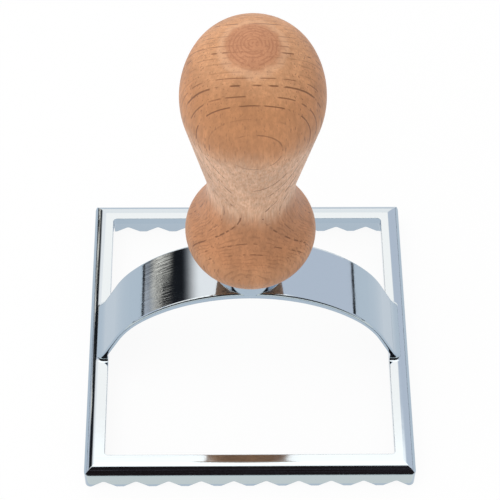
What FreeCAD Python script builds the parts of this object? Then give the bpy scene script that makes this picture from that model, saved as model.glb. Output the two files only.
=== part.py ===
import FreeCAD, Part

import math
import os
import Sketcher
from FreeCAD import Placement, Vector

# Square dough cutter: a plated die-cast frame with a scalloped edge and an arched
# strap, a turned beech knob, and the screw that holds the knob from below.
# Origin: middle of the square, at the height of the scallop tips. +Z is up.

doc = FreeCAD.newDocument("DoughCutter")

# Driving dimensions, in millimetres
sizes = [
    ("frameSide", 75.0, "outer side of the square frame"),
    ("railWidth", 4.6, "width of the rail, seen from above"),
    ("railTop", 6.4, "height of the flat top of the rail"),
    ("wallTop", 4.8, "height where the upright outer wall ends"),
    ("shoulder", 2.8, "how far in the rounded shoulder reaches"),
    ("skirtTop", 4.3, "height where the inner wall starts to draw back"),
    ("tipWidth", 3.9, "thickness of the wall at the scallop tips"),
    ("outerCorner", 1.2, "plan radius of the outer corners"),
    ("innerCorner", 0.8, "plan radius of the inner corners"),
    ("cornerMargin", 4.3, "from a corner to the middle of the first notch"),
    ("notchHeight", 2.2, "height of a notch"),
    ("tipFlat", 1.65, "length of the flat on a scallop tip"),
    ("notchRound", 0.6, "radius at the top of a notch"),
    ("legInset", 2.6, "from the frame's side to the strap's leg, at the top of the rail"),
    ("kneeInset", 3.9, "how far the leg leans in on its way up to the knee"),
    ("kneeRise", 8.7, "height of the knee above the rail"),
    ("haunchReach", 7.75, "from the middle to the centre of each haunch's circle"),
    ("crownLift", 3.7, "height of the crown over the haunch's circle"),
    ("legThickness", 1.05, "thickness of the strap's legs"),
    ("crownThickness", 1.7, "thickness of the strap at its crown"),
    ("strapWidth", 15.2, "width of the strap"),
    ("strapRound", 0.5, "rounding of the strap's long edges"),
    ("footRound", 0.9, "hollow rounding where the strap's sides meet the rail"),
    ("toeInset", 1.75, "from the frame's side to the end of the strap's toe"),
    ("toeSink", 0.2, "how far the toe's end lies below the top of the rail"),
    ("toeRadius", 8.0, "hollow radius of the toes"),
    ("bossRadius", 7.7, "radius of the boss under the knob"),
    ("bossRise", 6.15, "height of the boss over the strap's crown"),
    ("baseMargin", 0.45, "how far the knob's base reaches past the boss"),
    ("bulbRadius", 14.2, "largest radius of the knob's lower bulb"),
    ("bulbCurve", 8.9, "radius of the bulb's curve"),
    ("neckRadius", 9.4, "smallest radius, at the neck"),
    ("neckCurve", 21.4, "radius of the hollow curve at the neck"),
    ("sideRise", 28.35, "height from the neck to the knob's widest level"),
    ("knobRadius", 14.65, "largest radius of the knob"),
    ("knobSide", 23.9, "radius of the curve down the knob's side"),
    ("domeInset", 0.85, "how much smaller the domed top's radius is than the knob's"),
    ("screwRadius", 2.0, "radius of the screw's shank"),
    ("screwPlay", 0.25, "clearance round the screw in the frame"),
    ("headRadius", 3.9, "radius of the countersunk head"),
    ("headRim", 0.5, "height of the head's straight rim"),
    ("headSink", 0.4, "depth of the head's face inside the strap"),
    ("screwReach", 18.0, "how far the screw reaches into the knob"),
    ("screwPoint", 4.0, "length of the screw's pointed end"),
    ("pilotExtra", 1.0, "empty length of the pilot hole past the point"),
    ("recessSpan", 4.2, "span of the cross recess"),
    ("recessWidth", 0.9, "width of each arm of the cross recess"),
    ("recessDepth", 1.6, "depth of the cross recess"),
]
frontNotches = 10
rearNotches = 9
overcut = 1.0

# Sizes that follow from the driving dimensions
scallopPitch = f"(dims.frameSide - 2 * dims.cornerMargin) / {frontNotches - 1}"
legFootX = "(dims.frameSide / 2 - dims.legInset)"
kneeX = f"({legFootX} - dims.kneeInset)"
kneeZ = "(dims.railTop + dims.kneeRise)"
haunchSpan = f"({kneeX} - dims.haunchReach)"
haunchRadius = f"({haunchSpan} * hypot(dims.kneeRise; dims.kneeInset) / dims.kneeRise)"
haunchZ = f"({kneeZ} - {haunchSpan} * dims.kneeInset / dims.kneeRise)"
strapCrown = f"({haunchZ} + {haunchRadius} + dims.crownLift)"
strapCeiling = f"({strapCrown} - dims.crownThickness)"
knobSeat = f"({strapCrown} + dims.bossRise)"
baseRadius = "(dims.bossRadius + dims.baseMargin)"

dims = doc.addObject("Spreadsheet::Sheet", "dims")
for row, (alias, size, note) in enumerate(sizes, start=1):
    dims.set(f"A{row}", note)
    dims.set(f"B{row}", str(size))
    dims.setAlias(f"B{row}", alias)
doc.recompute()


# The number that an expression on the sheet stands for
def value(expression):
    return float(dims.evalExpression(expression))


def newBody(label):
    body = doc.addObject("PartDesign::Body", label)
    body.Label = label
    body.Placement = Placement()
    return body


def newSketch(body, name, role, offset="0"):
    sketch = body.newObject("Sketcher::SketchObject", name)
    plane = next(f for f in body.Origin.OriginFeatures if f.Role == role)
    sketch.AttachmentSupport = [(plane, "")]
    sketch.MapMode = "FlatFace"
    sketch.setExpression(".AttachmentOffset.Base.z", offset)
    return sketch


# A dimension in a sketch, bound to an expression on the sheet
def bind(sketch, name, expression, kind, *places):
    index = sketch.addConstraint(Sketcher.Constraint(kind, *places, value(expression)))
    sketch.renameConstraint(index, name)
    sketch.setExpression(f"Constraints.{name}", expression)


# A relation that no dimension drives
def relate(sketch, kind, *places):
    sketch.addConstraint(Sketcher.Constraint(kind, *places))


def addLine(sketch, start, end):
    return sketch.addGeometry(Part.LineSegment(Vector(*start, 0), Vector(*end, 0)), False)


def addArc(sketch, centre, radius, start, end):
    circle = Part.Circle(Vector(*centre, 0), Vector(0, 0, 1), radius)
    return sketch.addGeometry(Part.ArcOfCircle(circle, start, end), False)


# Lines from point to point, each starting where the one before it ends
def addRun(sketch, points):
    lines = [addLine(sketch, a, b) for a, b in zip(points, points[1:])]
    for line, after in zip(lines, lines[1:]):
        relate(sketch, "Coincident", line, 2, after, 1)
    for line, a, b in zip(lines, points, points[1:]):
        if a[0] == b[0]:
            relate(sketch, "Vertical", line)
        elif a[1] == b[1]:
            relate(sketch, "Horizontal", line)
    return lines


# A point carried round the origin by a number of quarter turns
def quarterTurned(x, y, turns):
    c, s = round(math.cos(turns * math.pi / 2)), round(math.sin(turns * math.pi / 2))
    return (c * x - s * y, s * x + c * y)


# A square with rounded corners, centred on the sketch's origin
def roundedSquare(sketch, side, corner):
    half = value(side) / 2
    radius = value(corner)
    flat = half - radius
    outline = []
    for turn in range(4):
        left, right = quarterTurned(-flat, -half, turn), quarterTurned(flat, -half, turn)
        outline.append(addLine(sketch, left, right))
        start = (turn - 1) * math.pi / 2
        centre = quarterTurned(flat, -flat, turn)
        outline.append(addArc(sketch, centre, radius, start, start + math.pi / 2))
    for piece, after in zip(outline, outline[1:] + outline[:1]):
        relate(sketch, "Tangent", piece, 2, after, 1)
    bottom, right, top, left = outline[0::2]
    arcs = outline[1::2]
    relate(sketch, "Horizontal", bottom)
    relate(sketch, "Horizontal", top)
    relate(sketch, "Vertical", right)
    relate(sketch, "Vertical", left)
    for arc in arcs[1:]:
        relate(sketch, "Equal", arcs[0], arc)
    relate(sketch, "Symmetric", arcs[0], 3, arcs[2], 3, -1, 1)
    bind(sketch, "width", side, "DistanceX", left, 1, right, 1)
    bind(sketch, "depth", side, "DistanceY", bottom, 1, top, 1)
    bind(sketch, "corner", corner, "Radius", arcs[0])


def addPad(body, name, sketch, length, midplane=False):
    pad = body.newObject("PartDesign::Pad", name)
    pad.Profile = sketch
    pad.Midplane = midplane
    pad.setExpression("Length", length)
    return pad


def addPocket(body, name, sketch, length=None, midplane=False, upward=False):
    pocket = body.newObject("PartDesign::Pocket", name)
    pocket.Profile = sketch
    pocket.Midplane = midplane
    pocket.Reversed = upward
    if length is None:
        pocket.Type = "ThroughAll"
    else:
        pocket.setExpression("Length", length)
    return pocket


def addTurned(body, name, kind, sketch):
    turned = body.newObject(kind, name)
    turned.Profile = sketch
    turned.ReferenceAxis = (sketch, ["V_Axis"])
    turned.Angle = 360
    return turned


# The angle at which the line between two points leaves the first of them
def bearing(start, end):
    return math.atan2(end[1] - start[1], end[0] - start[0])


def onCircle(centre, radius, angle):
    return (centre[0] + radius * math.cos(angle), centre[1] + radius * math.sin(angle))


frame = newBody("cutter_frame")

# Blank of the frame, with rounded outer corners
blankPlan = newSketch(frame, "BlankPlan", "XY_Plane")
roundedSquare(blankPlan, "dims.frameSide", "dims.outerCorner")
addPad(frame, "Blank", blankPlan, "dims.railTop")

# Rounded shoulder along the front rail, then along all four
shoulderCut = newSketch(frame, "ShoulderProfile", "YZ_Plane")
outer = -value("dims.frameSide") / 2
inset = value("dims.shoulder")
rise = value("dims.railTop - dims.wallTop")
shoulderRadius = (inset ** 2 + rise ** 2) / (2 * rise)
ridge = (outer + inset, value("dims.railTop"))
hub = (ridge[0], ridge[1] - shoulderRadius)
foot = (outer, value("dims.wallTop"))
curve = addArc(shoulderCut, hub, shoulderRadius, math.pi / 2, bearing(hub, foot))
above, outside = ridge[1] + overcut, outer - overcut
scrap = addRun(shoulderCut, [ridge, (ridge[0], above), (outside, above), (outside, foot[1]), foot])
relate(shoulderCut, "Coincident", curve, 1, scrap[0], 1)
relate(shoulderCut, "Coincident", scrap[-1], 2, curve, 2)
relate(shoulderCut, "Vertical", curve, 3, curve, 1)
bind(shoulderCut, "ridge", "dims.railTop", "DistanceY", -1, 1, curve, 1)
bind(shoulderCut, "edge", "dims.wallTop", "DistanceY", -1, 1, curve, 2)
bind(shoulderCut, "outside", "dims.frameSide / 2", "DistanceX", curve, 2, -1, 1)
bind(shoulderCut, "inset", "dims.shoulder", "DistanceX", curve, 2, curve, 1)
relate(shoulderCut, "DistanceY", scrap[0], 1, scrap[0], 2, overcut)
relate(shoulderCut, "DistanceX", scrap[-1], 1, scrap[-1], 2, overcut)
shoulderPocket = addPocket(frame, "FrontShoulder", shoulderCut, "dims.frameSide * 2", midplane=True)
shoulders = frame.newObject("PartDesign::PolarPattern", "Shoulders")
shoulders.Originals = [shoulderPocket]
shoulders.Axis = (blankPlan, ["N_Axis"])
shoulders.Angle = 360
shoulders.Occurrences = 4
frame.Tip = shoulders

# Open middle, with the inner walls drawn back towards the scallops
openingPlan = newSketch(frame, "OpeningPlan", "XY_Plane")
roundedSquare(openingPlan, "dims.frameSide - 2 * dims.railWidth", "dims.innerCorner")
addPocket(frame, "Opening", openingPlan, upward=True)
mouthPlan = newSketch(frame, "MouthPlan", "XY_Plane")
roundedSquare(mouthPlan, "dims.frameSide - 2 * dims.tipWidth", "dims.innerCorner")
throatPlan = newSketch(frame, "ThroatPlan", "XY_Plane", "dims.skirtTop")
roundedSquare(throatPlan, "dims.frameSide - 2 * dims.railWidth", "dims.innerCorner")
draft = frame.newObject("PartDesign::SubtractiveLoft", "InnerDraft")
draft.Profile = mouthPlan
draft.Sections = [throatPlan]
draft.Ruled = True


# A row of notches with straight flanks and rounded tops along one side
def scallopSide(name, role, facing, count):
    offset = f"{facing} * (dims.frameSide / 2 + {overcut})"
    first = f"{(count - 1) / 2} * {scallopPitch}"
    mouth = f"({scallopPitch} - dims.tipFlat)"
    halfMouth = value(f"{mouth} / 2")
    radius = value("dims.notchRound")
    middle = -value(first)
    centre = (middle, value("dims.notchHeight") - radius)
    corner = (middle + halfMouth, 0)
    farCorner = (middle - halfMouth, 0)
    reach = math.dist(centre, corner)
    lean = bearing(centre, corner) + math.acos(radius / reach)

    sketch = newSketch(frame, f"{name}Notch", role, offset)
    top = addArc(sketch, centre, radius, lean, math.pi - lean)
    right = addLine(sketch, onCircle(centre, radius, lean), corner)
    below = addRun(sketch, [corner, (corner[0], -overcut), (farCorner[0], -overcut), farCorner])
    left = addLine(sketch, farCorner, onCircle(centre, radius, math.pi - lean))
    relate(sketch, "Tangent", top, 1, right, 1)
    relate(sketch, "Tangent", left, 2, top, 2)
    relate(sketch, "Coincident", right, 2, below[0], 1)
    relate(sketch, "Coincident", below[-1], 2, left, 1)
    relate(sketch, "PointOnObject", right, 2, -1)
    relate(sketch, "PointOnObject", left, 1, -1)
    bind(sketch, "mouth", mouth, "DistanceX", left, 1, right, 2)
    bind(sketch, "round", "dims.notchRound", "Radius", top)
    bind(sketch, "height", "dims.notchHeight - dims.notchRound", "DistanceY", -1, 1, top, 3)
    bind(sketch, "halfMouth", f"{mouth} / 2", "DistanceX", top, 3, right, 2)
    if middle == 0:
        relate(sketch, "PointOnObject", top, 3, -2)
    else:
        bind(sketch, "first", first, "DistanceX", top, 3, -1, 1)
    relate(sketch, "DistanceY", below[0], 2, below[0], 1, overcut)

    depth = f"dims.railWidth + {overcut}"
    notch = addPocket(frame, f"{name}FirstNotch", sketch, depth, upward=facing < 0)
    row = frame.newObject("PartDesign::LinearPattern", f"{name}Scallops")
    row.Originals = [notch]
    row.Direction = (sketch, ["H_Axis"])
    row.setExpression("Length", f"{count - 1} * {scallopPitch}")
    row.Occurrences = count
    frame.Tip = row


# Opposite sides are half a pitch apart, so that neighbouring cuts interlock
scallopSide("Front", "XZ_Plane", 1, frontNotches)
scallopSide("Rear", "XZ_Plane", -1, rearNotches)
scallopSide("Left", "YZ_Plane", -1, frontNotches)
scallopSide("Right", "YZ_Plane", 1, rearNotches)

# Half of the arched strap: a leaning leg with a hollow toe, a haunch and the crown, each
# tangent to the next, and the same leg, haunch and crown again on the inside
legFoot = (value(legFootX), value("dims.railTop"))
knee = (value(kneeX), value(kneeZ))
toeEnd = (value("dims.frameSide / 2 - dims.toeInset"), value("dims.railTop - dims.toeSink"))
toeRadius = value("dims.toeRadius")
haunch = value(haunchRadius)
land = value("dims.skirtTop")
climb = bearing(legFoot, knee)
outward = climb - math.pi / 2
haunchCentre = (value("dims.haunchReach"), value(haunchZ))

toeSpan, toeTurn = math.dist(legFoot, toeEnd), bearing(legFoot, toeEnd) - climb
toeAlong, toeAside = toeSpan * math.cos(toeTurn), -toeSpan * math.sin(toeTurn)
toeLength = toeAlong + math.sqrt(toeAside * (2 * toeRadius - toeAside))
toeStart = onCircle(legFoot, toeLength, climb)
toeCentre = onCircle(toeStart, toeRadius, outward)

strapProfile = newSketch(frame, "StrapProfile", "XZ_Plane")


# Haunch and crown at one face of the strap, where the haunch's circle has this radius
# and the crown this height over the circle's centre
def addBow(side, rise):
    radius = (haunchCentre[0] ** 2 + rise ** 2 - side ** 2) / (2 * (rise - side))
    centre = (0, haunchCentre[1] + rise - radius)
    meet = bearing(centre, haunchCentre)
    haunchArc = addArc(strapProfile, haunchCentre, side, outward, meet)
    crownArc = addArc(strapProfile, centre, radius, meet, math.pi / 2)
    relate(strapProfile, "Tangent", haunchArc, 2, crownArc, 1)
    relate(strapProfile, "PointOnObject", crownArc, 3, -2)
    relate(strapProfile, "PointOnObject", crownArc, 2, -2)
    return haunchArc, crownArc


crownRise = f"{haunchRadius} + dims.crownLift"
outerHaunch, outerCrown = addBow(haunch, value(crownRise))
innerRadius = f"{haunchRadius} - dims.legThickness"
innerRise = f"{crownRise} - dims.crownThickness"
innerHaunch, innerCrown = addBow(value(innerRadius), value(innerRise))
innerKnee = onCircle(haunchCentre, value(innerRadius), outward)
railInside = "(dims.frameSide / 2 - dims.railWidth)"
flush = value(railInside)
innerFoot = (flush, innerKnee[1] + (flush - innerKnee[0]) * math.tan(climb))
outerLeg = addLine(strapProfile, toeStart, knee)
toeTip = bearing(toeCentre, toeEnd) + 2 * math.pi
toe = addArc(strapProfile, toeCentre, toeRadius, outward + math.pi, toeTip)
sole = addRun(strapProfile, [toeEnd, (toeEnd[0], land), (flush, land), innerFoot])
innerLeg = addLine(strapProfile, innerFoot, innerKnee)
middleLine = addLine(strapProfile, (0, value(strapCeiling)), (0, value(strapCrown)))
guide = addLine(strapProfile, legFoot, knee)
strapProfile.setConstruction(guide, True)
relate(strapProfile, "Tangent", outerLeg, 2, outerHaunch, 1)
relate(strapProfile, "Tangent", outerLeg, 1, toe, 1)
relate(strapProfile, "Coincident", toe, 2, sole[0], 1)
relate(strapProfile, "Coincident", sole[-1], 2, innerLeg, 1)
relate(strapProfile, "Tangent", innerLeg, 2, innerHaunch, 1)
relate(strapProfile, "Coincident", innerCrown, 2, middleLine, 1)
relate(strapProfile, "Coincident", middleLine, 2, outerCrown, 2)
relate(strapProfile, "Coincident", outerHaunch, 3, innerHaunch, 3)
relate(strapProfile, "Coincident", guide, 2, outerLeg, 2)
relate(strapProfile, "PointOnObject", outerLeg, 1, guide)
relate(strapProfile, "Parallel", innerLeg, guide)
bind(strapProfile, "footX", legFootX, "DistanceX", -1, 1, guide, 1)
bind(strapProfile, "footZ", "dims.railTop", "DistanceY", -1, 1, guide, 1)
bind(strapProfile, "kneeX", kneeX, "DistanceX", -1, 1, guide, 2)
bind(strapProfile, "kneeZ", kneeZ, "DistanceY", -1, 1, guide, 2)
bind(strapProfile, "haunch", "dims.haunchReach", "DistanceX", -1, 1, outerHaunch, 3)
bind(strapProfile, "innerHaunch", innerRadius, "Radius", innerHaunch)
bind(strapProfile, "rise", crownRise, "DistanceY", outerHaunch, 3, outerCrown, 2)
bind(strapProfile, "innerRise", innerRise, "DistanceY", innerHaunch, 3, innerCrown, 2)
bind(strapProfile, "toe", "dims.toeRadius", "Radius", toe)
bind(strapProfile, "toeX", "dims.frameSide / 2 - dims.toeInset", "DistanceX", -1, 1, toe, 2)
bind(strapProfile, "toeZ", "dims.railTop - dims.toeSink", "DistanceY", -1, 1, toe, 2)
bind(strapProfile, "sole", "dims.skirtTop", "DistanceY", -1, 1, sole[-1], 1)
bind(strapProfile, "flush", railInside, "DistanceX", -1, 1, sole[-1], 1)
halfStrap = addPad(frame, "HalfStrap", strapProfile, "dims.strapWidth", midplane=True)
strap = frame.newObject("PartDesign::Mirrored", "Strap")
strap.Originals = [halfStrap]
strap.MirrorPlane = (strapProfile, ["V_Axis"])
frame.Tip = strap
doc.recompute()


# Names of the edges of a feature that pass a test
def edgesOf(feature, test):
    return [f"Edge{i}" for i, edge in enumerate(feature.Shape.Edges, start=1) if test(edge)]


# An outer edge of the crown, from which the rounding runs down both legs
def isCrownRim(edge):
    ofCrown = edge.Curve.TypeId == "Part::GeomCircle"
    return ofCrown and math.isclose(edge.BoundBox.ZMax, value(strapCrown), abs_tol=0.001)


rounding = frame.newObject("PartDesign::Fillet", "StrapRounding")
rounding.Base = (strap, edgesOf(strap, isCrownRim))
rounding.setExpression("Radius", "dims.strapRound")
doc.recompute()


# An edge where a side of the strap stands on the flat top of the rail
def isFootEdge(edge):
    middle = edge.CenterOfMass
    onTop = math.isclose(middle.z, value("dims.railTop"), abs_tol=0.001)
    onSide = math.isclose(abs(middle.y), value("dims.strapWidth / 2"), abs_tol=0.001)
    return edge.Curve.TypeId == "Part::GeomLine" and onTop and onSide


feet = frame.newObject("PartDesign::Fillet", "FootRounding")
feet.Base = (rounding, edgesOf(rounding, isFootEdge))
feet.setExpression("Radius", "dims.footRound")


# A closed outline through corners given as pairs of expressions
def addOutline(sketch, corners):
    points = [(value(x), value(y)) for x, y in corners]
    lines = [addLine(sketch, a, b) for a, b in zip(points, points[1:] + points[:1])]
    for line, after in zip(lines, lines[1:] + lines[:1]):
        relate(sketch, "Coincident", line, 2, after, 1)
    for number, (line, corner, point) in enumerate(zip(lines, corners, points)):
        if point[0] == 0:
            relate(sketch, "PointOnObject", line, 1, -2)
        else:
            bind(sketch, f"x{number}", corner[0], "DistanceX", -1, 1, line, 1)
        bind(sketch, f"y{number}", corner[1], "DistanceY", -1, 1, line, 1)


# Round boss, from the middle of the strap's thickness up to the knob
bossPlan = newSketch(frame, "BossPlan", "XY_Plane", f"{strapCrown} - dims.crownThickness / 2")
bossRound = bossPlan.addGeometry(
    Part.Circle(Vector(0, 0, 0), Vector(0, 0, 1), value("dims.bossRadius")), False)
relate(bossPlan, "Coincident", bossRound, 3, -1, 1)
bind(bossPlan, "radius", "dims.bossRadius", "Radius", bossRound)
addPad(frame, "Boss", bossPlan, "dims.bossRise + dims.crownThickness / 2")

# Countersunk screw hole from below, with the same cone as the screw's head
headFace = f"{strapCeiling} + dims.headSink"
coneStart = f"{headFace} + dims.headRim"
coneEnd = f"{coneStart} + dims.headRadius - dims.screwRadius"
screwHole = newSketch(frame, "ScrewHoleProfile", "XZ_Plane")
addOutline(screwHole, [
    ("0", f"{strapCeiling} - {overcut}"),
    ("dims.headRadius + dims.screwPlay", f"{strapCeiling} - {overcut}"),
    ("dims.headRadius + dims.screwPlay", f"{coneStart} - dims.screwPlay"),
    ("dims.screwRadius + dims.screwPlay", f"{coneEnd} - dims.screwPlay"),
    ("dims.screwRadius + dims.screwPlay", f"{knobSeat} + {overcut}"),
    ("0", f"{knobSeat} + {overcut}"),
])
addTurned(frame, "ScrewHole", "PartDesign::Groove", screwHole)

# Turned beech knob
handle = newBody("handle")
bulb = value("dims.bulbCurve")
neck = value("dims.neckCurve")
side = value("dims.knobSide")
dome = value("dims.knobRadius - dims.domeInset")
seat = value(knobSeat)
bulbX = value("dims.bulbRadius") - bulb
baseAngle = -math.acos((value(baseRadius) - bulbX) / bulb)
bulbCentre = (bulbX, seat - bulb * math.sin(baseAngle))
neckX = value("dims.neckRadius") + neck
neckCentre = (neckX, bulbCentre[1] + math.sqrt((neck + bulb) ** 2 - (neckX - bulbX) ** 2))
waist = bearing(bulbCentre, neckCentre)
sideX = value("dims.knobRadius") - side
sideCentre = (sideX, neckCentre[1] + value("dims.sideRise"))
taper = bearing(sideCentre, neckCentre) + math.acos((side + neck) / math.dist(sideCentre, neckCentre))
domeCentre = (0, sideCentre[1] + math.sqrt((side - dome) ** 2 - sideX ** 2))
shoulderAngle = bearing(sideCentre, domeCentre)
rim = onCircle(bulbCentre, bulb, baseAngle)

knobProfile = newSketch(handle, "KnobProfile", "XZ_Plane")
domeArc = addArc(knobProfile, domeCentre, dome, shoulderAngle, math.pi / 2)
sideArc = addArc(knobProfile, sideCentre, side, taper, shoulderAngle)
straight = addLine(knobProfile, onCircle(sideCentre, side, taper), onCircle(neckCentre, -neck, taper))
neckArc = addArc(knobProfile, neckCentre, neck, math.pi + taper, math.pi + waist)
bulbArc = addArc(knobProfile, bulbCentre, bulb, baseAngle, waist)
baseLine = addLine(knobProfile, rim, (0, seat))
axisLine = addLine(knobProfile, (0, seat), (0, domeCentre[1] + dome))
relate(knobProfile, "Tangent", domeArc, 1, sideArc, 2)
relate(knobProfile, "Tangent", sideArc, 1, straight, 1)
relate(knobProfile, "Tangent", straight, 2, neckArc, 1)
relate(knobProfile, "Tangent", neckArc, 2, bulbArc, 2)
relate(knobProfile, "Coincident", bulbArc, 1, baseLine, 1)
relate(knobProfile, "Coincident", baseLine, 2, axisLine, 1)
relate(knobProfile, "Coincident", axisLine, 2, domeArc, 2)
relate(knobProfile, "Horizontal", baseLine)
relate(knobProfile, "PointOnObject", axisLine, 1, -2)
relate(knobProfile, "PointOnObject", axisLine, 2, -2)
relate(knobProfile, "PointOnObject", domeArc, 3, -2)
bind(knobProfile, "seat", knobSeat, "DistanceY", -1, 1, axisLine, 1)
bind(knobProfile, "base", baseRadius, "DistanceX", -1, 1, bulbArc, 1)
bind(knobProfile, "bulb", "dims.bulbCurve", "Radius", bulbArc)
bind(knobProfile, "bulbReach", "dims.bulbRadius - dims.bulbCurve", "DistanceX", -1, 1, bulbArc, 3)
bind(knobProfile, "neck", "dims.neckCurve", "Radius", neckArc)
bind(knobProfile, "neckReach", "dims.neckRadius + dims.neckCurve", "DistanceX", -1, 1, neckArc, 3)
bind(knobProfile, "sideRise", "dims.sideRise", "DistanceY", neckArc, 3, sideArc, 3)
bind(knobProfile, "side", "dims.knobSide", "Radius", sideArc)
bind(knobProfile, "sideReach", "dims.knobSide - dims.knobRadius", "DistanceX", sideArc, 3, -1, 1)
bind(knobProfile, "dome", "dims.knobRadius - dims.domeInset", "Radius", domeArc)
addTurned(handle, "Knob", "PartDesign::Revolution", knobProfile)

# Blind pilot hole that the screw bites into
pilotPlan = newSketch(handle, "PilotPlan", "XY_Plane", knobSeat)
pilotRound = pilotPlan.addGeometry(
    Part.Circle(Vector(0, 0, 0), Vector(0, 0, 1), value("dims.screwRadius")), False)
relate(pilotPlan, "Coincident", pilotRound, 3, -1, 1)
bind(pilotPlan, "radius", "dims.screwRadius", "Radius", pilotRound)
addPocket(handle, "PilotHole", pilotPlan, "dims.screwReach + dims.pilotExtra", upward=True)

# Countersunk wood screw
screw = newBody("handle_screw")
screwProfile = newSketch(screw, "ScrewProfile", "XZ_Plane")
addOutline(screwProfile, [
    ("0", headFace),
    ("dims.headRadius", headFace),
    ("dims.headRadius", coneStart),
    ("dims.screwRadius", coneEnd),
    ("dims.screwRadius", f"{knobSeat} + dims.screwReach - dims.screwPoint"),
    ("0", f"{knobSeat} + dims.screwReach"),
])
addTurned(screw, "Shank", "PartDesign::Revolution", screwProfile)

# Cross recess in the head: one slot, then the same slot a quarter turn on
slotPlan = newSketch(screw, "RecessPlan", "XY_Plane", headFace)
halfSpanSlot, halfWidthSlot = value("dims.recessSpan / 2"), value("dims.recessWidth / 2")
slot = addRun(slotPlan, [
    (-halfSpanSlot, -halfWidthSlot),
    (halfSpanSlot, -halfWidthSlot),
    (halfSpanSlot, halfWidthSlot),
    (-halfSpanSlot, halfWidthSlot),
    (-halfSpanSlot, -halfWidthSlot),
])
relate(slotPlan, "Coincident", slot[-1], 2, slot[0], 1)
relate(slotPlan, "Symmetric", slot[0], 1, slot[2], 1, -1, 1)
bind(slotPlan, "span", "dims.recessSpan", "DistanceX", slot[0], 1, slot[0], 2)
bind(slotPlan, "width", "dims.recessWidth", "DistanceY", slot[1], 1, slot[1], 2)
firstSlot = addPocket(screw, "RecessSlot", slotPlan, "dims.recessDepth", upward=True)
recess = screw.newObject("PartDesign::PolarPattern", "CrossRecess")
recess.Originals = [firstSlot]
recess.Axis = (slotPlan, ["N_Axis"])
recess.Angle = 90
recess.Occurrences = 2
screw.Tip = recess

doc.recompute()

for item in doc.Objects:
    if "Invalid" in item.State or "Error" in item.State:
        raise RuntimeError(f"{item.Label} failed: {item.State}")
os.makedirs("parts", exist_ok=True)
for body in (frame, handle, screw):
    shape = body.Shape
    if shape.isNull() or not shape.isValid() or len(shape.Solids) != 1:
        raise RuntimeError(f"{body.Label} is not one valid solid")
    shape.exportStep(f"parts/{body.Label}.step")
    print(body.Label, round(shape.Volume, 1), "mm3")
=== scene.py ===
import math

import bpy
from mathutils import Matrix, Vector


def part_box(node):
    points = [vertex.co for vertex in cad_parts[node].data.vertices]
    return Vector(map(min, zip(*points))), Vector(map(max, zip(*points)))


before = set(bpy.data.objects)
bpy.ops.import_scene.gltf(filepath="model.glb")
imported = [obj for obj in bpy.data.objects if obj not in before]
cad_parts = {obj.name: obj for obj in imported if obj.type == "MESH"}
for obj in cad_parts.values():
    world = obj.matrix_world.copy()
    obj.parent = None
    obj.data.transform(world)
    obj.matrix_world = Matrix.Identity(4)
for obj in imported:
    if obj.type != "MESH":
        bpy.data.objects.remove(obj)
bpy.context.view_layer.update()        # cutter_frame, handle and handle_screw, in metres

print("frame loaded:", ", ".join(sorted(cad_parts)))

perMetre = 1000              # millimetres in a metre
noiseSpan = (0.3, 0.7)       # noise seldom leaves this range


# node helpers
# values or other sockets, set or linked to a node's sockets
def feedNode(tree, node, feeds):
    for socket, feed in feeds.items():
        if isinstance(feed, bpy.types.NodeSocket):
            tree.links.new(feed, node.inputs[socket])
        else:
            node.inputs[socket].default_value = feed


# one node, with its sockets in feeds and its settings as keywords
def addNode(tree, kind, feeds=None, **settings):
    made = tree.nodes.new(kind)
    for name, setting in settings.items():
        setattr(made, name, setting)
    feedNode(tree, made, feeds or {})
    return made


def calc(tree, operation, first, second=0.0):
    return addNode(tree, "ShaderNodeMath", {0: first, 1: second}, operation=operation).outputs[0]


def product(tree, first, *others):
    for other in others:
        first = calc(tree, "MULTIPLY", first, other)
    return first


# what a share leaves of one
def remainder(tree, share):
    return calc(tree, "SUBTRACT", 1.0, share)


# a sine wave with one crest in each gap
def wave(tree, along, gap):
    return calc(tree, "SINE", product(tree, along, 2 * math.pi / gap))


def vectorCalc(tree, operation, first, second=(0, 0, 0), answer="Vector"):
    feeds = {0: first, 1: second}
    return addNode(tree, "ShaderNodeVectorMath", feeds, operation=operation).outputs[answer]


# level distance from an upright line through the centre, as a vector
def levelFrom(tree, point, centre):
    return vectorCalc(tree, "MULTIPLY", vectorCalc(tree, "SUBTRACT", point, centre), (1, 1, 0))


def splitAxes(tree, vector):
    return list(addNode(tree, "ShaderNodeSeparateXYZ", {0: vector}).outputs)


# a value moved from one range to another, clamped at both ends
def spread(tree, amount, low, high, start=0.0, end=1.0):
    feeds = {"Value": amount, "From Min": low, "From Max": high, "To Min": start, "To Max": end}
    return addNode(tree, "ShaderNodeMapRange", feeds, interpolation_type="SMOOTHSTEP").outputs[0]


def opaque(colour):
    return colour if isinstance(colour, bpy.types.NodeSocket) else (*colour, 1)


# sockets 6 and 7 take the two colours, and output 2 gives the blend
def blendColour(tree, amount, first, second):
    feeds = {0: amount, 6: opaque(first), 7: opaque(second)}
    return addNode(tree, "ShaderNodeMix", feeds, data_type="RGBA").outputs[2]


def grey(tree, amount):
    return addNode(tree, "ShaderNodeCombineXYZ", {0: amount, 1: amount, 2: amount}).outputs[0]


# noise over the object, with grains of one size, or of one size each along x, y and z
def grainNoise(tree, point, size, detail=2.0, rough=0.5):
    sizes = size if isinstance(size, tuple) else (size, size, size)
    scaled = vectorCalc(tree, "MULTIPLY", point, tuple(1 / length for length in sizes))
    feeds = {"Vector": scaled, "Scale": 1.0, "Detail": detail, "Roughness": rough}
    return addNode(tree, "ShaderNodeTexNoise", feeds).outputs[0]


# noise that swings to both sides of nought by about half of reach
def sway(tree, point, size, reach):
    return product(tree, calc(tree, "SUBTRACT", grainNoise(tree, point, size), 0.5), reach)


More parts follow.
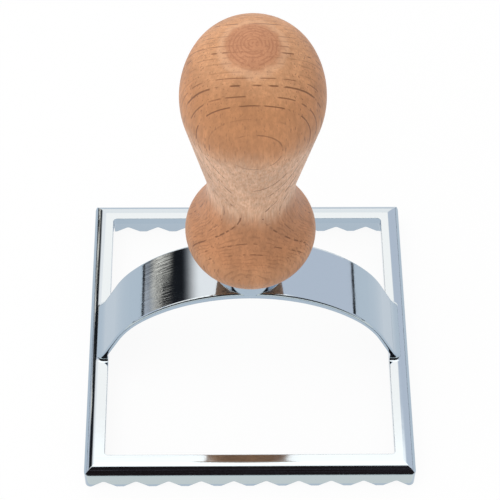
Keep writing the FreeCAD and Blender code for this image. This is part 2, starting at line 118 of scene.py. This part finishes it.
# a material, its tree and shader, and the place on the object in millimetres
def newMaterial(name):
    material = bpy.data.materials.new(name)
    material.use_nodes = True
    tree = material.node_tree
    place = addNode(tree, "ShaderNodeTexCoord").outputs["Object"]
    point = vectorCalc(tree, "MULTIPLY", place, (perMetre, perMetre, perMetre))
    return material, tree, tree.nodes["Principled BSDF"], point


# a bump of so many millimetres
def addBump(tree, height, depth, under=None):
    feeds = {"Height": height, "Distance": depth / perMetre, "Strength": 1.0}
    if under:
        feeds["Normal"] = under
    return addNode(tree, "ShaderNodeBump", feeds).outputs[0]


# chrome of the casting, sizes in millimetres
chrome = {
    "colour": (0.39, 0.48, 0.57),
    "roughness": (0.045, 0.095),     # in its bright and its dull places
    "dullSize": 11,
    "dullSpan": (0.35, 0.75),
    "rippleSize": 5.5,               # slow waves left by the mould
    "rippleDepth": 0.008,
    "peelSize": 0.9,                 # fine orange peel of the plating
    "peelDepth": 0.0010,
    "streakSize": (16, 0.42, 16),    # polishing lines on the strap and the front and back rails
    "streakDepth": 0.0075,
    "streakEnds": (-11.0, -19.0),    # places along x where the lines start to deepen and are deepest
    "streakShare": (0.22, 1.0),      # shares of that depth at these two places
    "sideRailsFrom": 33.0,           # from here outwards in x the lines run along y
    "edgeRound": 0.22,
    "edgeSamples": 6,
}


def makeChrome():
    material, tree, shader, point = newMaterial("plated_casting")
    x, y = splitAxes(tree, point)[:2]

    # polishing lines run along each rail
    lengthwise, across, upward = chrome["streakSize"]
    linesAlongX = grainNoise(tree, point, (lengthwise, across, upward), detail=3)
    linesAlongY = grainNoise(tree, point, (across, lengthwise, upward), detail=3)
    farOut = calc(tree, "GREATER_THAN", calc(tree, "ABSOLUTE", x), chrome["sideRailsFrom"])
    betweenRails = calc(tree, "LESS_THAN", calc(tree, "ABSOLUTE", y), chrome["sideRailsFrom"])
    onSideRail = product(tree, farOut, betweenRails)
    streaks = calc(tree, "ADD", product(tree, linesAlongY, onSideRail),
                   product(tree, linesAlongX, remainder(tree, onSideRail)))
    streaks = product(tree, streaks, spread(tree, x, *chrome["streakEnds"], *chrome["streakShare"]))

    # rounded edges, and on them the mould's waves, the lines and the plating's peel
    rounding = {"Radius": chrome["edgeRound"] / perMetre}
    rounded = addNode(tree, "ShaderNodeBevel", rounding, samples=chrome["edgeSamples"]).outputs[0]
    ripple = grainNoise(tree, point, chrome["rippleSize"])
    peel = grainNoise(tree, point, chrome["peelSize"])
    waved = addBump(tree, ripple, chrome["rippleDepth"], rounded)
    lined = addBump(tree, streaks, chrome["streakDepth"], waved)
    dull = grainNoise(tree, point, chrome["dullSize"], detail=4)
    feedNode(tree, shader, {
        "Base Color": opaque(chrome["colour"]),
        "Metallic": 1.0,
        "Roughness": spread(tree, dull, *chrome["dullSpan"], *chrome["roughness"]),
        "Normal": addBump(tree, peel, chrome["peelDepth"], lined),
    })
    return material


# tones of the wood from the foot of the knob up, with painted shade on the bulb and a painted sheen on the
# taper, sizes and heights in millimetres
woodToneWithLight = {
    "rim": (0.51, 0.245, 0.118),
    # the bulb's tone is partly redder wood and partly painted shade cast by the knob above it
    "bulb": (0.475, 0.215, 0.101),
    # the taper's pale tone is partly paler wood and partly a painted sheen of the white floor at grazing
    # angles
    "taperPaleSheen": (0.73, 0.475, 0.325),
    "belly": (0.525, 0.240, 0.105),
    "crown": (0.580, 0.302, 0.155),
    "bulbFrom": (50.5, 54.0),        # heights between which each tone takes over
    "taperPaleSheenFrom": (60.0, 68.0),
    "bellyFrom": (85.0, 95.0),
    "crownFrom": (102.0, 109.0),
    "wander": 5.0,                   # how far these heights wander round the knob
    "wanderSize": (7, 7, 9),
    "cloudSize": (5, 5, 16),
    "cloudShade": (0.86, 1.10),
    "mottleSize": (0.9, 0.9, 2.4),
    "mottleSpan": (0.32, 0.68),
    "mottleShade": (0.88, 1.12),
    "mottleRough": 0.65,
}


# tone of the wood by height, with painted shade on the bulb and a painted sheen on the taper, and clouds and
# a fine mottle over it
def woodTonesWithLight(tree, point, z):
    level = calc(tree, "ADD", z, sway(tree, point, woodToneWithLight["wanderSize"], woodToneWithLight["wander"]))
    tone = woodToneWithLight["rim"]
    for name in ("bulb", "taperPaleSheen", "belly", "crown"):
        tone = blendColour(tree, spread(tree, level, *woodToneWithLight[name + "From"]), tone, woodToneWithLight[name])
    clouds = grainNoise(tree, point, woodToneWithLight["cloudSize"], detail=3)
    mottle = grainNoise(tree, point, woodToneWithLight["mottleSize"], detail=3, rough=woodToneWithLight["mottleRough"])
    shade = product(tree, spread(tree, clouds, *noiseSpan, *woodToneWithLight["cloudShade"]),
                    spread(tree, mottle, *woodToneWithLight["mottleSpan"], *woodToneWithLight["mottleShade"]))
    return vectorCalc(tree, "MULTIPLY", tone, grey(tree, shade))


# growth rings, sizes and heights in millimetres
rings = {
    "pith": (0, 19.4, 0),            # middle of the rings, behind the knob
    "gap": 1.2,
    "shift": 0.33,                   # in ring gaps
    "uneven": 0.35,                  # in ring gaps
    "unevenScale": 0.55,
    "drift": 0.9,
    "driftSize": (22, 22, 60),
    "lineWidth": 0.19,
    "lineEdge": (1.0, 0.3),          # where a line ends and where it is full, in line widths
    "leastSlope": 0.03,              # as a square
    "seed": 7.0,
    "strengthSpan": (0.05, 0.75),    # random numbers for the faintest and the strongest line
    "strength": (0.18, 1.0),
    "noiseStep": (7.3, 11.9),        # the noise moves on along x and z from ring to ring
    "dashSize": 3.0,
    "dashSpan": (0.43, 0.52),
    "lowDashSize": 1.5,              # shorter dashes on the taper and the bulb
    "lowDashSpan": (0.46, 0.55),
    "lowDashTop": (70.0, 96.0),      # heights between which they give way
    "layerGap": 0.43,                # thin layers between the lines
    "layerSpan": (0.2, 1.0),
    "layerSway": 1.2,
    "layerSwaySize": (4, 4, 9),
    "patchSize": (2.2, 2.2, 4.0),
    "patchSpan": (0.42, 0.62),
}


# upright shells round a pith behind the knob, each with a dark line of its own strength
def growthRings(tree, point, z):
    fromPith = levelFrom(tree, point, rings["pith"])
    distance = vectorCalc(tree, "LENGTH", fromPith, answer="Value")
    distance = calc(tree, "ADD", distance, sway(tree, point, rings["driftSize"], rings["drift"]))
    slowFeeds = {"W": distance, "Scale": rings["unevenScale"], "Detail": 0.0}
    slow = addNode(tree, "ShaderNodeTexNoise", slowFeeds, noise_dimensions="1D").outputs[0]
    years = calc(tree, "SUBTRACT", calc(tree, "DIVIDE", distance, rings["gap"]), rings["shift"])
    years = calc(tree, "ADD", years, product(tree, calc(tree, "SUBTRACT", slow, 0.5), rings["uneven"]))
    year = calc(tree, "FLOOR", years)
    season = calc(tree, "FRACT", years)

    # a line keeps its width on the surface, also where the surface runs along its ring
    facing = addNode(tree, "ShaderNodeTexCoord").outputs["Normal"]
    outward = vectorCalc(tree, "NORMALIZE", fromPith)
    lean = vectorCalc(tree, "DOT_PRODUCT", facing, outward, answer="Value")
    steepness = calc(tree, "MAXIMUM", remainder(tree, product(tree, lean, lean)), rings["leastSlope"])
    lineWidth = product(tree, calc(tree, "SQRT", steepness), rings["lineWidth"])
    offset = product(tree, calc(tree, "ABSOLUTE", calc(tree, "SUBTRACT", season, 0.5)), rings["gap"])
    line = spread(tree, calc(tree, "DIVIDE", offset, lineWidth), *rings["lineEdge"])

    # each line has its own strength and breaks into dashes at its own places
    seed = calc(tree, "ADD", year, rings["seed"])
    random = addNode(tree, "ShaderNodeTexWhiteNoise", {"W": seed}, noise_dimensions="1D").outputs["Value"]
    strength = spread(tree, random, *rings["strengthSpan"], *rings["strength"])
    stepX, stepZ = rings["noiseStep"]
    steps = {0: product(tree, year, stepX), 2: product(tree, year, stepZ)}
    moved = addNode(tree, "ShaderNodeCombineXYZ", steps).outputs[0]
    places = vectorCalc(tree, "ADD", point, moved)
    dashes = spread(tree, grainNoise(tree, places, rings["dashSize"], detail=1), *rings["dashSpan"])
    lowNoise = grainNoise(tree, places, rings["lowDashSize"], detail=1)
    lowDashes = spread(tree, lowNoise, *rings["lowDashSpan"])
    lowDashes = calc(tree, "MAXIMUM", lowDashes, spread(tree, z, *rings["lowDashTop"]))
    line = product(tree, line, dashes, lowDashes, strength)

    # thin wavy layers between the lines, in patches
    swayed = calc(tree, "ADD", distance, sway(tree, point, rings["layerSwaySize"], rings["layerSway"]))
    layers = spread(tree, wave(tree, swayed, rings["layerGap"]), *rings["layerSpan"])
    patches = spread(tree, grainNoise(tree, point, rings["patchSize"]), *rings["patchSpan"])
    return season, line, product(tree, layers, patches)


# end grain on the very top of the knob, sizes in millimetres
endGrain = {
    "centre": (-0.15, -1.45, 0),
    "radius": 5.4,
    "edgeOut": 0.7,                  # its edge is soft this far out and in
    "edgeIn": 0.9,
    "ragged": 2.2,
    "raggedSize": 1.6,
    "depth": 9.0,                    # down from the top of the knob
    "colour": (0.44, 0.190, 0.102),
    "colourShare": 0.62,
    "halo": (0.70, 0.420, 0.265),
    "haloShare": 0.38,
    "haloWidth": 1.3,                # from its middle to where it ends
    "haloCore": 0.2,                 # from its middle to where it starts to fade
    "marks": (0.30, 0.120, 0.062),
    "markShare": 0.46,
    "circleGap": 0.72,
    "circleSpan": (0.0, 0.8),
    "circleSway": 0.5,
    "circleSwaySize": 1.3,
    "arcSize": 1.6,                  # the circles break into arcs
    "arcSpan": (0.38, 0.52),
    "poreSize": 0.55,
    "poreSpan": (0.55, 0.68),
}


def topDisc(tree, point, z):
    radius = vectorCalc(tree, "LENGTH", levelFrom(tree, point, endGrain["centre"]), answer="Value")
    ragged = calc(tree, "ADD", radius, sway(tree, point, endGrain["raggedSize"], endGrain["ragged"]))
    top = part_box("handle")[1].z * perMetre
    onTop = calc(tree, "GREATER_THAN", z, top - endGrain["depth"])
    outer = endGrain["radius"] + endGrain["edgeOut"]
    inner = endGrain["radius"] - endGrain["edgeIn"]
    disc = product(tree, spread(tree, ragged, outer, inner), onTop)
    haloMiddle = endGrain["radius"] + endGrain["haloWidth"] / 2
    away = calc(tree, "ABSOLUTE", calc(tree, "SUBTRACT", ragged, haloMiddle))
    halo = product(tree, spread(tree, away, endGrain["haloWidth"], endGrain["haloCore"]), onTop)

    # broken circles, and pores between them
    swayed = calc(tree, "ADD", radius, sway(tree, point, endGrain["circleSwaySize"], endGrain["circleSway"]))
    circles = spread(tree, wave(tree, swayed, endGrain["circleGap"]), *endGrain["circleSpan"])
    arcs = spread(tree, grainNoise(tree, point, endGrain["arcSize"]), *endGrain["arcSpan"])
    pores = spread(tree, grainNoise(tree, point, endGrain["poreSize"], detail=1), *endGrain["poreSpan"])
    return disc, halo, calc(tree, "MAXIMUM", product(tree, circles, arcs), pores)


# beech of the knob, sizes and heights in millimetres
beech = {
    "line": (0.165, 0.066, 0.031),   # the ring lines and the thin layers
    "lineShare": 0.88,
    "lineDepth": 0.02,
    "lineHidden": 0.75,              # share of the lines and flecks that the end grain hides
    "seasonSpan": (0.1, 0.95),       # a ring darkens from one line to the next
    "seasonShare": (0.0, 0.14),
    "layerFrom": (66.0, 60.0),       # the layers get stronger down to the bulb
    "layerShare": (0.06, 0.30),
    "fibreSize": (0.30, 0.30, 5.0),
    "fibreSpan": (0.38, 0.68),
    "fibreShare": (0.0, 0.42),
    "fibreRough": 0.6,
    "fibreDepth": 0.022,
    "fleck": (0.24, 0.105, 0.055),
    "fleckSize": (0.30, 0.30, 2.2),
    "fleckSpan": (0.69, 0.76),
    "fleckFrom": (4.0, 10.0),        # flecks get stronger towards the sides of the knob
    "fleckShare": (0.30, 0.75),
    "roundGap": 0.9,
    "roundDepth": 0.0012,
    "roughness": (0.41, 0.56),
    "gloss": 0.32,
}


def makeBeech():
    material, tree, shader, point = newMaterial("beech")
    x, _, z = splitAxes(tree, point)
    colour = woodTonesWithLight(tree, point, z)
    season, line, layers = growthRings(tree, point, z)
    fibres = grainNoise(tree, point, beech["fibreSize"], detail=3, rough=beech["fibreRough"])
    seasonShare = spread(tree, season, *beech["seasonSpan"], *beech["seasonShare"])
    colour = blendColour(tree, seasonShare, colour, woodToneWithLight["bulb"])
    fibreShare = spread(tree, fibres, *beech["fibreSpan"], *beech["fibreShare"])
    colour = blendColour(tree, fibreShare, colour, woodToneWithLight["bulb"])
    layerShare = product(tree, layers, spread(tree, z, *beech["layerFrom"], *beech["layerShare"]))
    colour = blendColour(tree, layerShare, colour, beech["line"])

    # end grain, and the paler ring about it
    disc, halo, marks = topDisc(tree, point, z)
    colour = blendColour(tree, product(tree, halo, endGrain["haloShare"]), colour, endGrain["halo"])
    colour = blendColour(tree, product(tree, disc, endGrain["colourShare"]), colour, endGrain["colour"])
    markShare = product(tree, disc, marks, endGrain["markShare"])
    colour = blendColour(tree, markShare, colour, endGrain["marks"])

    # ring lines and short dark flecks, both fainter in the end grain
    outside = remainder(tree, product(tree, disc, beech["lineHidden"]))
    colour = blendColour(tree, product(tree, line, outside, beech["lineShare"]), colour, beech["line"])
    flecks = spread(tree, grainNoise(tree, point, beech["fleckSize"], detail=0), *beech["fleckSpan"])
    fleckShare = spread(tree, calc(tree, "ABSOLUTE", x), *beech["fleckFrom"], *beech["fleckShare"])
    colour = blendColour(tree, product(tree, flecks, outside, fleckShare), colour, beech["fleck"])

    # fibres stand a little proud, the lathe leaves faint rounds, and the ring lines lie deeper
    fibrous = addBump(tree, fibres, beech["fibreDepth"])
    turned = addBump(tree, wave(tree, z, beech["roundGap"]), beech["roundDepth"], fibrous)
    feedNode(tree, shader, {
        "Base Color": colour,
        "Roughness": spread(tree, fibres, *noiseSpan, *beech["roughness"]),
        "Specular IOR Level": beech["gloss"],
        "Normal": addBump(tree, line, -beech["lineDepth"], turned),
    })
    return material


# steel of the screw, with marks left by the lathe, sizes in millimetres
screwSteel = {
    "colour": (0.50, 0.50, 0.48),
    "roughness": (0.22, 0.42),
    "turningSize": (0.7, 0.7, 3.0),
    "turningDepth": 0.010,
}


def makeScrewSteel():
    material, tree, shader, point = newMaterial("screw_steel")
    turning = grainNoise(tree, point, screwSteel["turningSize"])
    feedNode(tree, shader, {
        "Base Color": opaque(screwSteel["colour"]),
        "Metallic": 1.0,
        "Roughness": spread(tree, turning, *noiseSpan, *screwSteel["roughness"]),
        "Normal": addBump(tree, turning, screwSteel["turningDepth"]),
    })
    return material


finishes = {"cutter_frame": makeChrome(), "handle": makeBeech(), "handle_screw": makeScrewSteel()}
for name, finish in finishes.items():
    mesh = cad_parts[name].data
    mesh.materials.clear()
    mesh.materials.append(finish)
print("finishes on the three CAD pieces")


# camera at the photograph's angle: place in metres, angles in degrees, lens and sensor in millimetres
camera = {
    "place": (-0.006003, -0.234386, 0.377400),
    "turn": 1.463,
    "down": 55.195,
    "roll": 1.051,
    "lens": 133.55,
    "sensor": 36,
    "near": 0.01,
    "far": 50,
}


def addCamera():
    data = bpy.data.cameras.new("camera")
    data.lens = camera["lens"]
    data.sensor_width = camera["sensor"]
    data.clip_start = camera["near"]
    data.clip_end = camera["far"]
    viewer = bpy.data.objects.new("camera", data)
    bpy.context.scene.collection.objects.link(viewer)
    turn, down, roll = (math.radians(camera[angle]) for angle in ("turn", "down", "roll"))
    viewer.matrix_world = (
        Matrix.Translation(Vector(camera["place"]))
        @ Matrix.Rotation(-turn, 4, "Z")
        @ Matrix.Rotation(math.pi / 2 - down, 4, "X")
        @ Matrix.Rotation(roll, 4, "Z")
    )
    bpy.context.scene.camera = viewer


# pale floor, sizes in metres
floorLook = {
    "half": 3.0,
    "white": 0.9,
    "lift": 0.92,                    # share of plain white light in what the camera and chrome see
    "gleam": (1.26, 1.18, 1.03),     # the floor in front of the cutter, as chrome shows it
    "gleamFrom": -0.038,
}


def addFloor():
    half = floorLook["half"]
    corners = [(-half, -half, 0), (half, -half, 0), (half, half, 0), (-half, half, 0)]
    mesh = bpy.data.meshes.new("studio_floor")
    mesh.from_pydata(corners, [], [(0, 1, 2, 3)])
    floor = bpy.data.objects.new("studio_floor", mesh)
    bpy.context.scene.collection.objects.link(floor)
    material = bpy.data.materials.new("studio_floor")
    material.use_nodes = True
    tree = material.node_tree
    tree.nodes.clear()
    white = floorLook["white"]
    matt = addNode(tree, "ShaderNodeBsdfDiffuse", {"Color": opaque((white, white, white))}).outputs[0]
    path = addNode(tree, "ShaderNodeLightPath").outputs
    y = splitAxes(tree, addNode(tree, "ShaderNodeTexCoord").outputs["Object"])[1]
    inFront = calc(tree, "LESS_THAN", y, floorLook["gleamFrom"])
    gleam = product(tree, inFront, path["Is Glossy Ray"])
    glowColour = blendColour(tree, gleam, (1.0, 1.0, 1.0), floorLook["gleam"])
    glow = addNode(tree, "ShaderNodeEmission", {"Color": glowColour, "Strength": 1.0}).outputs[0]
    seen = calc(tree, "MAXIMUM", path["Is Camera Ray"], path["Is Glossy Ray"])
    seen = calc(tree, "MAXIMUM", seen, path["Is Transmission Ray"])
    lift = product(tree, seen, floorLook["lift"])
    surface = addNode(tree, "ShaderNodeMixShader", {0: lift, 1: matt, 2: glow}).outputs[0]
    addNode(tree, "ShaderNodeOutputMaterial", {"Surface": surface})
    mesh.materials.append(material)


# the room as polished metal shows it
# a colour, then the values of x, y or z between which it fades in, for a direction of length 1
mirrorRoom = {
    "back": (1.04, 1.00, 1.02),
    "high": (2.20, 1.86, 1.58),
    "highZ": (0.74, 0.80),
    "highX": (0.27, 0.12),
    "highLeftZ": (0.48, 0.60),
    "highLeftX": (-0.15, -0.25),
    "highLeftShare": 0.7,
    "farBack": (1.85, 1.62, 1.42),
    "farBackY": (0.60, 0.68),
    "overhead": (2.6, 2.3, 2.0),
    "overheadY": (0.50, 0.46),
    "overheadSideways": (0.55, 0.35),
    "front": (0.022, 0.014, 0.014),
    "frontY": (-0.19, -0.28),
    "frontZ": (0.07, 0.12),
    "frontLines": (0.16, 0.13, 0.14),
    "frontLineSize": (0.30, 0.05, 0.03),
    "frontLineSpan": (0.60, 0.72),
    "frontFoot": (0.75, 0.85, 0.78),
    "frontFootY": (-0.15, -0.25),
    "frontFootZ": (0.11, 0.06),
    "left": (0.018, 0.018, 0.020),
    "leftX": (-0.50, -0.66),
    "leftEndX": (-0.86, -0.80),
    "leftY": (0.35, 0.45),
    "leftGleam": (1.75, 1.45, 1.15),
    "leftGleamZ": (0.42, 0.30),
    "leftGleamSize": (0.25, 0.025, 0.25),
    "leftGleamSpan": (0.50, 0.59),
    "skirting": (0.03, 0.03, 0.03),
    "skirtingSideways": 0.6,
    "skirtingZ": (0.040, 0.031),
}


# what polished metal shows, by direction: x to the right, y to the back, z up
def mirrorColour(tree, direction):
    x, y, z = splitAxes(tree, direction)
    sideways = calc(tree, "ABSOLUTE", x)

    def fade(amount, name):
        return spread(tree, amount, *mirrorRoom[name])

    # pale above and behind
    high = product(tree, fade(z, "highZ"), fade(x, "highX"))
    highLeft = product(tree, fade(z, "highLeftZ"), fade(x, "highLeftX"), mirrorRoom["highLeftShare"])
    high = calc(tree, "MAXIMUM", high, highLeft)
    colour = blendColour(tree, high, mirrorRoom["back"], mirrorRoom["high"])
    colour = blendColour(tree, fade(y, "farBackY"), colour, mirrorRoom["farBack"])
    overhead = product(tree, fade(y, "overheadY"), fade(sideways, "overheadSideways"))
    colour = blendColour(tree, overhead, colour, mirrorRoom["overhead"])

    # dark in front, with faint lines, and paler at its foot
    front = product(tree, fade(y, "frontY"), fade(z, "frontZ"))
    frontLines = fade(grainNoise(tree, direction, mirrorRoom["frontLineSize"]), "frontLineSpan")
    dark = blendColour(tree, frontLines, mirrorRoom["front"], mirrorRoom["frontLines"])
    colour = blendColour(tree, front, colour, dark)
    foot = product(tree, fade(y, "frontFootY"), fade(z, "frontFootZ"))
    colour = blendColour(tree, foot, colour, mirrorRoom["frontFoot"])

    # dark things at the left, with gleams between them low down
    left = product(tree, fade(x, "leftX"), fade(x, "leftEndX"), fade(y, "leftY"))
    colour = blendColour(tree, left, colour, mirrorRoom["left"])
    gleams = fade(grainNoise(tree, direction, mirrorRoom["leftGleamSize"], detail=1), "leftGleamSpan")
    gleams = product(tree, gleams, left, fade(z, "leftGleamZ"))
    colour = blendColour(tree, gleams, colour, mirrorRoom["leftGleam"])

    # a dark strip just over the floor at both sides
    toTheSide = calc(tree, "GREATER_THAN", sideways, mirrorRoom["skirtingSideways"])
    skirting = product(tree, toTheSide, fade(z, "skirtingZ"))
    return blendColour(tree, skirting, colour, mirrorRoom["skirting"])


# the room as soft light, with its brightness on each side: brighter at the left and back
softRoom = {
    "frontToBack": (0.80, 1.00),
    "frontToBackY": (-0.7, 0.5),
    "leftToRight": (1.12, 0.70),
    "leftToRightX": (-0.8, 0.8),
}


# white to the camera, plain soft light for matt surfaces, and the room itself for polished ones
def addRoom():
    world = bpy.data.worlds.new("studio_room")
    bpy.context.scene.world = world
    world.use_nodes = True
    tree = world.node_tree
    tree.nodes.clear()
    direction = addNode(tree, "ShaderNodeTexCoord").outputs["Generated"]
    x, y = splitAxes(tree, direction)[:2]
    soft = product(tree, spread(tree, y, *softRoom["frontToBackY"], *softRoom["frontToBack"]),
                   spread(tree, x, *softRoom["leftToRightX"], *softRoom["leftToRight"]))
    path = addNode(tree, "ShaderNodeLightPath").outputs
    polished = calc(tree, "MAXIMUM", path["Is Glossy Ray"], path["Is Transmission Ray"])
    colour = blendColour(tree, polished, grey(tree, soft), mirrorColour(tree, direction))
    colour = blendColour(tree, path["Is Camera Ray"], colour, (1.0, 1.0, 1.0))
    glow = addNode(tree, "ShaderNodeBackground", {"Color": colour, "Strength": 1.0}).outputs[0]
    addNode(tree, "ShaderNodeOutputWorld", {"Surface": glow})


# one soft lamp above, to the left and a little in front, in metres and watts
lampAbove = {
    "place": (-0.30, -0.20, 1.05),
    "aim": (0, 0, 0.04),
    "size": 0.9,
    "power": 4.4,
}


def addLamp():
    data = bpy.data.lights.new("lamp_above", "AREA")
    data.shape = "SQUARE"
    data.size = lampAbove["size"]
    data.energy = lampAbove["power"]
    lamp = bpy.data.objects.new("lamp_above", data)
    bpy.context.scene.collection.objects.link(lamp)
    place = Vector(lampAbove["place"])
    away = place - Vector(lampAbove["aim"])
    lamp.matrix_world = Matrix.Translation(place) @ away.to_track_quat("Z", "Y").to_matrix().to_4x4()
    lamp.visible_glossy = False


bpy.context.scene.view_settings.view_transform = "Standard"
addCamera()
addFloor()
addRoom()
addLamp()
print("camera, floor, room and lamp in place")
